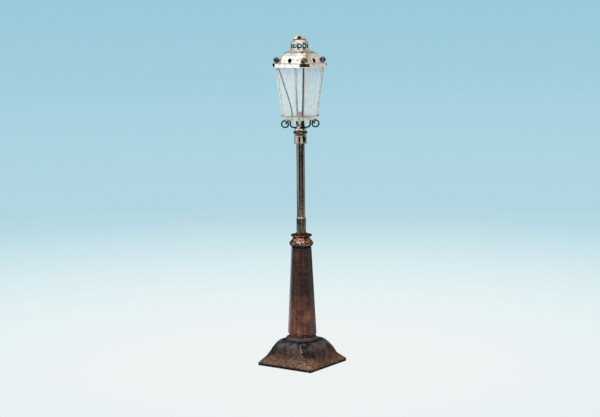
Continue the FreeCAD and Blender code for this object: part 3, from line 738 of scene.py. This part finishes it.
def make_shaft(finish):
    """Tapering octagonal tube, a little uneven, with an undercut foot."""
    _, bottom, top = span("column_shaft")
    start = bottom + UNDERCUT
    rows = lift(bottom, (12.0, 0), (12.05, 0.6), (12.25, 1.4), (12.85, 2.0), (13.3, 2.6))
    for s in range(61):
        radius = SHAFT_LOW + (SHAFT_HIGH - SHAFT_LOW) * s / 60
        rows.append((radius, start + (top - bottom - UNDERCUT) * s / 60))
    rings = [dented(ring_of(octagon(r), z, 0.55, 5, 5), 0.06, 9) for r, z in rows]
    thicken(skin("shaft", rings, finish, "column_shaft"), SHAFT_SHEET)


def make_capital(finish):
    """Two turned rings and the cove between them."""
    reach, bottom, top = span("capital_lower")
    ovolo = lift(
        bottom, (9.3, 1.25), (10.3, 2.1), (reach, 3.5), (10.6, 4.7), (9.7, 5.9), (8.6, 7.2), (7.9, 8.4),
    )
    foot = lift(bottom, (4.0, 0), (8.8, 0), (8.75, 0.9))
    outline = foot + flow(ovolo + [(7.7, top)], 6) + [(4.0, top)]
    lathe("capital_ovolo", outline, finish, "capital_lower")
    reach, bottom, top = span("capital_upper")
    dish = lift(
        bottom, (7.6, 0), (8.3, 0.6), (9.2, 1.2), (reach, 1.75), (reach - 0.1, 2.25), (9.1, 2.65),
        (7.4, 3.05), (5.6, 3.6),
    )
    outline = [(4.0, bottom)] + flow(dish + [(4.9, top)], 6) + [(4.0, top)]
    lathe("capital_dish", outline, finish, "capital_upper")


# ---- post ----
POST_WALL = 0.5


def make_post(post, ring_plate, socket_plate, solder):
    """Plated tube, its soldered ferrule and the turned socket on top."""
    reach, bottom, top = span("post_tube")
    steps = 90
    outer = []
    for s in range(steps + 1):
        wave = 0.018 * noise.noise(Vector((0, 0, s * 0.9)))
        outer.append((reach + wave, bottom + (top - bottom) * s / steps))
    inner = [(reach - POST_WALL, top), (reach - POST_WALL, bottom)]
    lathe("post", outer + inner, post, "post_tube")
    reach, bottom, top = span("post_ferrule")
    outline = [(4.0, bottom), (reach, bottom), (reach, top), (4.0, top)]
    lathe("ferrule", eased(outline, 0.3), ring_plate, "post_ferrule")
    wave = [0.12 * noise.noise(Vector((k * 0.7, 2, 5))) for k in range(2)]
    low, high = lift(top + 0.35, (4.32, wave[0])), lift(top + 0.8, (4.16, wave[1]))
    outline = lift(top, (3.85, -0.2), (4.2, -0.1)) + low + high + lift(top, (3.98, 1.35), (3.85, 1.5))
    lathe("solder", flow(outline, 4), solder)
    reach, bottom, top = span("post_socket")
    outline = lift(bottom, (4.0, 0), (reach, 0), (reach, 0.9), (5.65, 1.2))
    outline += lift(top, (5.65, -1.3), (5.4, -0.45), (4.85, 0), (3.4, 0), (3.4, -3), (4.0, -3.5))
    lathe("socket", eased(outline, 0.22), socket_plate, "post_socket")


def make_stem(finish, collar_plate):
    """Waisted stem under the lantern with its collar."""
    _, bottom, top = span("lantern_stem")
    reach, low, high = span("collar_ring")
    seat = span("lantern_tray")[1]
    neck = lift(
        high, (4.7, 0.2), (5.35, 0.6), (5.42, 1.2), (5.3, 1.9), (4.7, 2.35), (4.3, 3), (3.5, 4.6),
        (2.2, 5.9), (1.85, 7), (2.3, 8.1),
    ) + lift(seat, (4.2, -1.0), (7.2, 0))
    outline = [(0, bottom), (3.3, bottom), (3.3, low - 0.6), (4.6, low - 0.5)]
    outline += flow(neck, 5) + [(1.2, seat), (1.2, top), (0, top)]
    lathe("stem", outline, finish, "lantern_stem")
    middle, half = (low + high) / 2, (high - low) / 2
    arc = []
    for t in np.linspace(-math.pi / 2, math.pi / 2, 17):
        arc.append((5.1 + (reach - 5.1) * math.cos(t), middle + half * math.sin(t)))
    outline = [(4.7, middle - half)] + arc + [(4.7, middle + half)]
    lathe("collar", outline, collar_plate, "collar_ring")


# ---- scrolls ----
# the scroll's centre line in its own upright plane, as (radius, height)
SCROLL = [
    (4.35, 217.0), (6.4, 216.9), (8.1, 217.7), (9.0, 219.5), (9.1, 221.6), (9.5, 223.1),
    (10.5, 223.55), (11.3, 222.7), (11.2, 221.2), (10.9, 219.6), (11.5, 218.0), (13.3, 217.15),
    (15.3, 217.4), (16.7, 218.8), (17.0, 220.6), (16.1, 222.3), (14.4, 223.0), (12.9, 222.2),
    (12.7, 220.8), (13.4, 219.9),
]
STRIP_THICK, STRIP_WIDE = 0.66, 0.85


def make_scrolls(finish):
    """Four scrolls of flat strip with rounded edges, thinner towards the curl."""
    line = flow(SCROLL, 7)
    last = len(line) - 1
    for corner, angle in CORNERS.items():
        rings = []
        for i, point in enumerate(line):
            ahead = line[min(i + 1, last)] - line[max(i - 1, 0)]
            across = Vector((-ahead.y, ahead.x)).normalized()
            thick, wide = STRIP_THICK * (1 - 0.15 * (i / last)), STRIP_WIDE * (1 - 0.1 * (i / last))
            section = eased([(thick, -wide), (thick, wide), (-thick, wide), (-thick, -wide)], 0.3, 3)
            rings.append([(point.x + across.x * p.x, p.y, point.y + across.y * p.x) for p in section])
        skin("scroll_strip_" + corner, rings, finish, "scroll_" + corner, "capped", turn=angle)


# ---- lantern ----
TRAY_FLOOR, TRAY_FLAT, TRAY_EDGE, TRAY_SHEET = 10.3, 8.6, 226.9, 0.4
PANE_THICK = 1.0
BAR_THICK, BAR_LEG = 0.35, 1.25
BAND_LEG, BAND_SHEET = 6.4, 0.5


def make_tray(finish):
    """Pressed floor with flared walls whose corners stand up as small horns."""
    reach, bottom, top = span("lantern_tray")
    slope = (reach - TRAY_FLOOR) / (top - bottom)

    def raised(x, y, share):
        """A point up the wall: share 0 is the floor's edge and 1 the upper edge."""
        far = max(0, (min(abs(x), abs(y)) - TRAY_FLAT * 0.98) / (TRAY_FLOOR - TRAY_FLAT * 0.98))
        edge = TRAY_EDGE + (top - TRAY_EDGE) * min(1, far) ** 1.6
        z = bottom + (edge - bottom) * share
        grow = 1 + slope * (z - bottom) / TRAY_FLOOR
        return x * grow, y * grow, z

    base = ring_of([(TRAY_FLOOR * x, TRAY_FLOOR * y) for x, y in QUARTERS], bottom, 0.5, 30, 6)
    rings = [[(x * share, y * share, bottom) for x, y, _ in base] for share in (0.12, 0.3, 0.6, 0.9)]
    rings.append([(x * 0.985, y * 0.985, bottom + 0.02) for x, y, _ in base])
    rings += [[raised(x, y, s / 10) for x, y, _ in base] for s in range(11)]
    thicken(skin("tray", rings, finish, "lantern_tray"), TRAY_SHEET)


def make_cup(finish):
    """Turned candle cup with a rolled mouth."""
    _, bottom, top = span("candle_cup")
    outline = lift(bottom, (1.2, 0), (4.4, 0), (4.4, 0.5), (3.2, 0.95), (2.55, 1.6))
    outline += lift(top, (2.55, -1), (2.9, -0.4), (2.85, 0), (2, 0))
    outline += lift(bottom, (2, 2.3), (1.2, 2.3))
    lathe("cup", eased(outline, 0.18, 3), finish, "candle_cup", turns=64)


def pane_half(height):
    """Distance from the axis to a pane's outer face."""
    _, bottom, top = span("glass_front")
    low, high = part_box("glass_front")
    start, end = -high.y / MM + PANE_THICK, -low.y / MM
    return start + (end - start) * (height - bottom) / (top - bottom)


def make_panes(finish):
    """Four panes that widen upwards, very slightly wavy."""
    _, bottom, top = span("glass_front")
    across, up = 14, 20
    width = across + 1
    size = width * (up + 1)
    for number, (side, angle) in enumerate(SIDES.items()):
        points, faces = [], []
        for layer in (0, 1):
            for j in range(up + 1):
                z = bottom + (top - bottom) * j / up
                face = pane_half(z)
                edge = face - PANE_THICK - 0.18
                for i in range(across + 1):
                    x = edge * (2 * i / across - 1)
                    inside = 0 < i < across and 0 < j < up
                    spot = Vector((x / 7, z / 11, number * 5 + layer * 3))
                    wave = 0.035 * noise.noise(spot) if inside else 0
                    y = -face + layer * PANE_THICK + (0.04 if layer == 0 else -0.04) + wave
                    points.append(turned(angle) @ Vector((x, y, z)))
        for j in range(up):
            for i in range(across):
                a = j * width + i
                faces.append((a, a + 1, a + 1 + width, a + width))
                faces.append((a + size, a + width + size, a + 1 + width + size, a + 1 + size))
        rim = list(range(across)) + [j * width + across for j in range(up)]
        rim += [up * width + across - i for i in range(across)] + [(up - j) * width for j in range(up)]
        faces += [(a, a + size, b + size, b) for a, b in zip(rim, rim[1:] + rim[:1])]
        mesh_piece("pane_" + side, points, faces, finish, "glass_" + side, 30)


def make_crack(finish):
    """A crack down the front pane, from high on its left edge to the middle of its lower edge."""
    _, bottom, top = span("glass_front")
    # (share of the pane's half width from the middle, height)
    path = [
        (-0.8, top - 1.5), (-0.66, 262.5), (-0.52, 254.0), (-0.36, 247.0), (-0.22, 240.5), (-0.12, 234.0),
        (-0.09, bottom + 1.2),
    ]
    rings = []
    for share, z in flow(path, 8):
        face = pane_half(z)
        x = share * face + 0.08 * noise.noise(Vector((z * 1.3, 0, 4)))
        wide = 0.5 + 0.12 * noise.noise(Vector((z / 3, 7, 1)))
        y = -face - 0.02
        rings.append([(x - wide, y, z), (x, y - 0.12, z), (x + wide, y, z), (x, y + 0.12, z)])
    skin("pane_crack", rings, finish, ends="capped")


def make_corner_bars(finishes, bright):
    """Four angle strips over the edges of the panes: two pale with painted bright reflection and two dark
    with painted dark reflection, the front right one with a painted highlight on its face that looks along
    +X.
    """
    _, bottom, top = span("corner_bar_front_left")
    for corner, angle in CORNERS.items():
        rings = []
        for s in range(25):
            z = bottom + (top - bottom) * s / 24
            near = -(pane_half(z) + 0.05)
            far = near - BAR_THICK
            end = far + BAR_LEG
            section = [(far, far), (end, far), (end, near), (near, near), (near, end), (far, end)]
            sway = 0.03 * noise.noise(Vector((angle, 0, z / 6)))
            rings.append([(p.x + sway, p.y - sway, z) for p in eased(section, 0.14, 3)])
        turn = angle - CORNERS["front_left"]
        bar = skin("bar_" + corner, rings, finishes[corner], "corner_bar_" + corner, "capped", turn=turn)
        # painted highlight: the dark front right bar's face that looks along +X gets the pale finish
        if corner == "front_right":
            bar.data.materials.append(bright)
            for face in bar.data.polygons:
                if face.normal.x > 0.6:
                    face.material_index = 1


def make_seams(finish):
    """Dark strips in two inner corners between the panes, behind the dark bars, as painted shade."""
    _, bottom, top = span("glass_front")
    for corner in ("front_right", "back_left"):
        angle = CORNERS[corner]
        rings = []
        for s in range(25):
            z = bottom + 0.8 + (top - bottom - 1.8) * s / 24
            out = (pane_half(z) - 0.75) * math.sqrt(2)
            size = 1.0 + 0.16 * noise.noise(Vector((angle, 3, z / 4)))
            section = [(out, 0), (out - size, size), (out - 1.3 * size, 0), (out - size, -size)]
            rings.append([(p.x, p.y, z) for p in eased(section, 0.25, 3)])
        skin("seam_" + corner, rings, finish, ends="capped", turn=angle)


def make_band(finish):
    """Band under the roof with its flange round the panes."""
    reach, bottom, top = span("top_frame")
    opening = pane_half(bottom + BAND_SHEET) + 0.08
    # (half side, leg of the cut corner, height) round the section
    section = [
        (opening, 0.3, bottom), (reach - 0.2, BAND_LEG, bottom), (reach, BAND_LEG, bottom + 0.2),
        (reach, BAND_LEG, top - 0.2), (reach - 0.2, BAND_LEG, top), (reach - BAND_SHEET, BAND_LEG - 0.3, top),
        (reach - BAND_SHEET, BAND_LEG - 0.3, bottom + BAND_SHEET), (opening, 0.3, bottom + BAND_SHEET),
    ]
    rings = []
    for side, leg, z in section:
        ring = ring_of(cut_square(side, leg), z, 0.35 if leg > 1 else 0.1, 12, 4)
        rings.append(dented(ring, 0.05 if side > opening + 1 else 0, 8))
    skin("band", rings, finish, "top_frame", "joined", 30)


def make_corner_plates(finish):
    """Small dark plates with eased edges on the band's cut corners, a little proud of them."""
    _, bottom, top = span("corner_plate_back_right")
    face = (2 * span("top_frame")[0] - BAND_LEG) / math.sqrt(2)
    wide, thick = 4.3, 0.5
    middle, half = (bottom + top) / 2, (top - bottom) / 2
    rings = []
    for out, draw in ((0, 0), (thick - 0.15, 0), (thick - 0.04, 0.04), (thick, 0.16)):
        x, y = wide - draw, half - draw
        outline = eased([(x, y), (-x, y), (-x, -y), (x, -y)], 0.45, 5)
        rings.append([(face + out, p.x, middle + p.y) for p in outline])
    for corner, angle in CORNERS.items():
        skin("plate_" + corner, rings, finish, "corner_plate_" + corner, "capped", 30, turn=angle)


# ---- roof ----
# (height, half side, leg of the cut corner) up the dome
DOME = [
    (274.75, 16.9, 5.9), (275.1, 16.0, 5.6), (277.2, 15.5, 5.4), (280.0, 14.7, 5.1), (281.8, 13.7, 4.9),
    (283.6, 12.4, 4.6), (284.8, 10.8, 4.3), (285.45, 9.4, 3.9), (285.6, 8.2, 3.4),
]
BRIM_LEG, ROOF_SHEET, ROOF_OPENING = 6.3, 0.45, 7.35
# heights and radii of the vents in the faces and of those on the corners
VENT_HEIGHT, VENT_RADIUS = 277.1, 2.1
HIGH_VENT_HEIGHT, HIGH_VENT_OUT, HIGH_VENT_RADIUS = 284, 13.0, 1.25
DRUM_HOLES, DRUM_TURN, DRUM_HOLE_RADIUS = 10, -56.2, 1.9
PETALS = 8


def make_roof(finish, inside):
    """Pressed roof with a flat brim, a cushion-shaped dome, a vent in each face and corner."""
    reach, bottom, _ = span("roof_shell")
    rings = []
    for z, side in ((bottom + 0.08, reach - 0.12), (bottom + 0.42, reach), (bottom + 0.5, reach - 0.12)):
        rings.append(ring_of(cut_square(side, BRIM_LEG), z, 0.4, 14, 6))
    for z, side, leg in flow(DOME, 5):
        rings.append(dented(ring_of(cut_square(side, leg), z, 1.9, 14, 6), 0.12, 6))
    rim = [Vector(p).to_2d().normalized() for p in rings[-1]]
    rings.append([(ROOF_OPENING * v.x, ROOF_OPENING * v.y, DOME[-1][0]) for v in rim])
    roof = skin("roof", rings, finish, "roof_shell", body="roof")
    thicken(roof, ROOF_SHEET)
    holes = [((0, 0, VENT_HEIGHT), direction, VENT_RADIUS, 60) for direction in ((1, 0, 0), (0, 1, 0))]
    for angle in CORNERS.values():
        out = turned(angle) @ Vector((1, 0, 0))
        centre = out * HIGH_VENT_OUT + Vector((0, 0, HIGH_VENT_HEIGHT))
        holes.append((centre, (0, 0, 1), HIGH_VENT_RADIUS, 6))
    punch(roof, holes)
    soot_and_shade(roof, inside, holes)


def make_drum(finish, inside):
    """Vent drum with ten round holes, each with a dark eyelet that paints the shade round the hole."""
    reach, bottom, top = span("vent_drum")
    middle = (bottom + top) / 2
    rows = 10
    outer = [(reach, bottom + (top - bottom) * s / rows) for s in range(rows + 1)]
    inner = [(reach - 0.5, z) for _, z in reversed(outer)]
    drum = lathe("drum", outer + inner, finish, "vent_drum", 128, "roof")
    step = 360 // DRUM_HOLES
    holes = []
    for k in range(DRUM_HOLES // 2):
        turn = math.radians(DRUM_TURN + step * k)
        holes.append(((0, 0, middle), (math.cos(turn), math.sin(turn), 0), DRUM_HOLE_RADIUS, 30))
    punch(drum, holes)
    soot_and_shade(drum, inside, holes)
    # (radius, distance out from the drum) round an eyelet's section
    section = [(2.25, -0.7), (2.25, -0.02), (2.0, 0.05), (1.55, -0.02), (1.35, -0.3), (1.4, -0.7)]
    rings = []
    for r, out in section:
        ring = []
        for t in circle(32):
            across = r * math.cos(t)
            ring.append((math.sqrt(reach * reach - across * across) + out, across, middle + r * math.sin(t)))
        rings.append(ring)
    # the eyelets: dark rings of painted shade round the holes' edges
    for k in range(DRUM_HOLES):
        skin("eyelet_%d" % k, rings, inside, ends="joined", body="roof", turn=DRUM_TURN + step * k)


def make_chimney(flange_plate, drum_plate, cap_plate, inside):
    """Flange, vent drum, crown and cap on the roof."""
    reach, bottom, top = span("chimney_flange")
    curve = lift(bottom, (reach - 0.1, 0), (reach, 0.3), (reach - 0.2, 0.6), (reach - 0.6, 0.85), (8.25, 1.1))
    outline = [(7.3, bottom)] + flow(curve + [(8.2, top)], 4) + [(7.3, top)]
    lathe("flange", outline, flange_plate, "chimney_flange", body="roof")
    make_drum(drum_plate, inside)
    reach, bottom, top = span("drum_crown")
    curve = lift(bottom, (8.1, 0), (reach, 0.35), (7.6, 1), (6.9, 1.7), (6.1, 2.5))
    outer = flow(curve + [(5.6, top)], 5)
    inner = [(p.x - 0.5, p.y - 0.35) for p in reversed(outer[8:])]
    soot_and_shade(lathe("crown", outer + inner + [(7.3, bottom)], drum_plate, "drum_crown", body="roof"), inside)
    reach, bottom, top = span("chimney_cap")
    lip = lift(bottom, (0, 0), (5.6, 0), (reach, 0.3), (reach, 0.9), (5.95, 1.15))
    dome = lift(bottom, (5.9, 1.25), (5.75, 1.9), (4.9, 2.9), (3.6, 3.65)) + lift(top, (1.9, -0.1), (0, 0))
    # the cap's underside takes painted shadow as well as soot
    soot_and_shade(lathe("cap", lip + flow(dome, 6), cap_plate, "chimney_cap", body="roof"), inside)


def make_rosettes(finish):
    """Round flower knobs with eight petals on the dome's corners."""
    _, bottom, top = span("rosette_back_right")
    height = (bottom + top) / 2
    back = 18.45
    # (radius, distance out from the dome, how deeply the petals show)
    outline = [
        (0, 0, 0), (1.3, 0, 0), (1.2, 0.3, 0), (1.5, 0.6, 0.02), (2.3, 1.2, 0.1), (2.68, 2.3, 0.16),
        (2.58, 3.4, 0.16), (2.0, 4.3, 0.12), (1.45, 4.5, 0.02), (1.25, 4.6, 0), (1.2, 4.95, 0), (0.8, 5.3, 0),
        (0, 5.4, 0),
    ]
    rings = []
    for r, out, deep in flow(outline, 3):
        ring = []
        for t in circle(96):
            wave = r * (1 - deep * (1 - abs(math.cos(PETALS * t / 2))) * 1.2)
            ring.append((back + out, wave * math.cos(t), height + wave * math.sin(t)))
        rings.append(ring if r >= 1e-3 else [(back + out, 0, height)])
    for corner, angle in CORNERS.items():
        skin("flower_" + corner, rings, finish, "rosette_" + corner, sharp=50, body="roof", turn=angle)


# ---- the whole lamp ----
bpy.context.scene.view_settings.view_transform = "Standard"
add_camera()
add_sweep()
add_light()

PLATE = (0.93, 0.9, 0.87), (0.86, 0.8, 0.75)
brown, slate, bronze = paint(), foot_paint(), copper()
nickel = plated("nickel", *PLATE, (0.5, 0.38, 0.29), clean=0.07, metal=0.8)
# the darker patch high on the roof's right face is painted shade
roof_plate = plated(
    "roof_nickel", *PLATE, (0.46, 0.34, 0.26), clean=0.08, metal=0.8, painted_shade=((15.5, -4.0, 284.0), 9.0, 0.14),
)
# the flange's darker band is painted shadow under the vent drum
flange_plate = plated(
    "flange_nickel", *PLATE, (0.4, 0.29, 0.22), grain=3, clean=0.07, metal=0.8,
    dark_band=(286.4, 286.8, 287.6, 288.0, 0.9),
)
# the dark spot on the cap is a painted reflection
cap_plate = plated(
    "cap_plate", (0.95, 0.92, 0.89), (0.9, 0.85, 0.81), (0.56, 0.42, 0.32), grain=3, clean=0.12, metal=0.45,
    reflection_spot=(3.1, -4.8, 297.1),
)
drum_plate = plated(
    "drum_plate", (0.92, 0.88, 0.85), (0.84, 0.78, 0.73), (0.4, 0.29, 0.22), grain=3, clean=0.06, metal=0.75,
    dark_band=(287.6, 288.4, 291.2, 292.2, 0.75),
)
# pale: a lit copy of the nickel for two bars, a painted bright reflection
pale = plated(
    "pale_nickel", (0.92, 0.89, 0.83), (0.86, 0.8, 0.72), (0.62, 0.46, 0.34), grain=3, gloss=(0.3, 0.5),
    clean=0.05, metal=0.35,
)
tray_plate = plated(
    "tray_plate", (0.74, 0.69, 0.59), (0.64, 0.57, 0.45), (0.2, 0.14, 0.09), grain=2.5, gloss=(0.16, 0.34),
    clean=0.04, dark_band=(226.2, 227.3, 400, 401, 0.95),
)
smoked = plated(
    "dark_nickel", (0.6, 0.55, 0.47), (0.41, 0.365, 0.31), (0.14, 0.1, 0.085), gloss=(0.03, 0.12),
    streaky=0.12, relief=0.02,
)
tube_plate = plated(
    "post_nickel", (0.68, 0.62, 0.57), (0.48, 0.42, 0.38), (0.14, 0.11, 0.1), grain=3, gloss=(0.04, 0.13),
    streaky=0.06, relief=0.02,
)
stem_plate = plated(
    "stem_nickel", (0.93, 0.88, 0.8), (0.76, 0.68, 0.59), (0.24, 0.16, 0.12), grain=2.5, gloss=(0.04, 0.14),
    edge=0.5,
)
collar_plate = plated(
    "collar_nickel", (0.2, 0.15, 0.122), (0.125, 0.095, 0.08), (0.045, 0.03, 0.027), grain=3,
    gloss=(0.04, 0.14), edge=0.4,
)
worn = plated(
    "worn_ferrule", (0.33, 0.26, 0.19), (0.2, 0.145, 0.108), (0.06, 0.04, 0.032), grain=2.4,
    gloss=(0.14, 0.32), streaky=0.3, edge=0.2,
)
dark = plated(
    "dark_strip", (0.06, 0.044, 0.043), (0.024, 0.019, 0.019), (0.01, 0.008, 0.008), grain=2,
    gloss=(0.25, 0.45), edge=0.1,
)
knob = plated(
    "knob_metal", (0.36, 0.28, 0.25), (0.13, 0.09, 0.08), (0.03, 0.021, 0.019), grain=1.8, gloss=(0.2, 0.4),
    edge=0.1,
)
solder = plated(
    "solder", (0.66, 0.61, 0.51), (0.41, 0.36, 0.285), (0.16, 0.12, 0.08), grain=1.2, gloss=(0.25, 0.45),
    edge=0.5,
)
steel = rough_metal("plain_steel", (0.45, 0.45, 0.46), 0.35)
iron = rough_metal("cast_iron", (0.1, 0.1, 0.105), 0.6)
# soot and painted shade for insides, undersides and hole walls
soot_and_shade_metal = rough_metal("soot_and_shade", (0.03, 0.024, 0.02), 0.6)

make_foot(slate)
make_plinth(slate)
make_shaft(brown)
make_capital(bronze)
make_post(tube_plate, worn, smoked, solder)
make_stem(stem_plate, collar_plate)
make_scrolls(dark)
make_tray(tray_plate)
make_cup(bronze)
make_panes(glass())
make_crack(crack())
# pale and dark are lit and shaded copies of the bars' nickel: painted reflections
make_corner_bars({"front_left": pale, "front_right": dark, "back_right": pale, "back_left": dark}, pale)
make_seams(dark)
make_band(nickel)
make_corner_plates(dark)
make_roof(roof_plate, soot_and_shade_metal)
make_chimney(flange_plate, drum_plate, cap_plate, soot_and_shade_metal)
make_rosettes(knob)

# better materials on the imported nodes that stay
for finish, names in (
    (slate, ["base_cover"]),
    (bronze, ["shaft_bush"]),
    (nickel, ["scroll_rivets", "hinge_leaf_lower", "hinge_leaf_upper"]),
    (steel, ["tie_rod", "tie_washer", "tie_nut", "post_plug", "glass_retainer", "rosette_nuts", "hinge_pin"]),
    (iron, ["base_weight"]),
):
    for slots in (NODES[name].data.materials for name in names):
        slots.clear()
        slots.append(finish)
